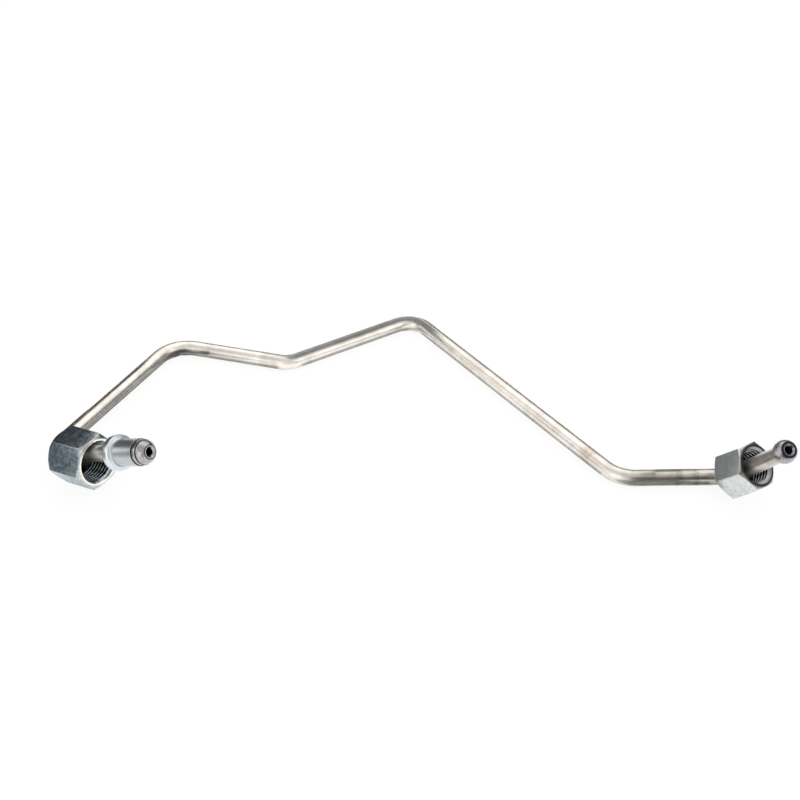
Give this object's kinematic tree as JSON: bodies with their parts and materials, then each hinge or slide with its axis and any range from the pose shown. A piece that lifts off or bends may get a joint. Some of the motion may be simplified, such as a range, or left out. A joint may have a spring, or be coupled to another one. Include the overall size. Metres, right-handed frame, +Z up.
{
  "type": "high pressure fuel line",
  "caption": "Bent steel fuel line for an engine, with a formed ball head at each end, a thrust sleeve behind the larger head and loose union nuts on the tube. It lies flat.",
  "frame": {"origin": "on the surface the line lies on, under the middle of its overall box", "axes": "+Z up, +X along the line from its larger head's end to its smaller head's end, +Y away from the two heads"},
  "size_m": [0.2754, 0.1418, 0.0396],
  "materials": {
    "tube_steel": "drawn steel, satin",
    "sleeve_zinc": "zinc plated, bright",
    "left_nut_zinc": "zinc plated, blue-grey and mottled",
    "right_nut_zinc": "zinc plated, grey"
  },
  "bodies": {
    "line": {"fuel_tube": "tube_steel", "thrust_sleeve": "sleeve_zinc"},
    "left_nut": {"left_union_nut": "left_nut_zinc"},
    "right_nut": {"right_union_nut": "right_nut_zinc"}
  },
  "joints": [
    {"name": "left_nut_spin", "type": "hinge", "parent": "line", "child": "left_nut", "pos_m": [-0.12716, -0.03495, 0.01], "axis": [0.7933, -0.5764, 0.1962], "continuous": true},
    {"name": "right_nut_spin", "type": "hinge", "parent": "line", "child": "right_nut", "pos_m": [0.12296, -0.04375, 0.00732], "axis": [0.5191, -0.4909, 0.6997], "continuous": true}
  ]
}
